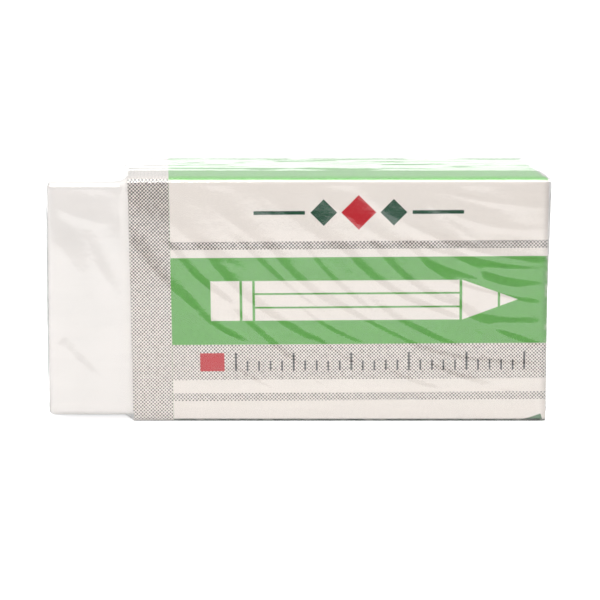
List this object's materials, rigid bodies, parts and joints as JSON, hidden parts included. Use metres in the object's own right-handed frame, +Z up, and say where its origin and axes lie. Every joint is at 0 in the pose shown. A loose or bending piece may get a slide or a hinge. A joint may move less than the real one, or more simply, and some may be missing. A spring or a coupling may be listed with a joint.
{
  "type": "block eraser in card sleeve",
  "caption": "White plastic block eraser in a folded, printed card sleeve, sealed in tight clear film with folded ends.",
  "frame": {"origin": "middle of the footprint, where the wrapped eraser stands on its long narrow side", "axes": "+X along the length, from the bare end of the block to the sleeve's flush end; +Y from the wide front face to the back; +Z up"},
  "size_m": [0.0434, 0.0148, 0.0215],
  "materials": {
    "eraser_plastic": "soft white eraser plastic, smooth from the mould, with a fine matt bloom",
    "printed_card": "thin white card printed in green and grey fields, satin ink",
    "clear_film": "clear thin plastic film, glossy, drawn tight with slanting creases"
  },
  "bodies": {
    "root": {"eraser_block": "eraser_plastic", "card_sleeve": "printed_card", "film_wrap": "clear_film"}
  },
  "joints": []
}
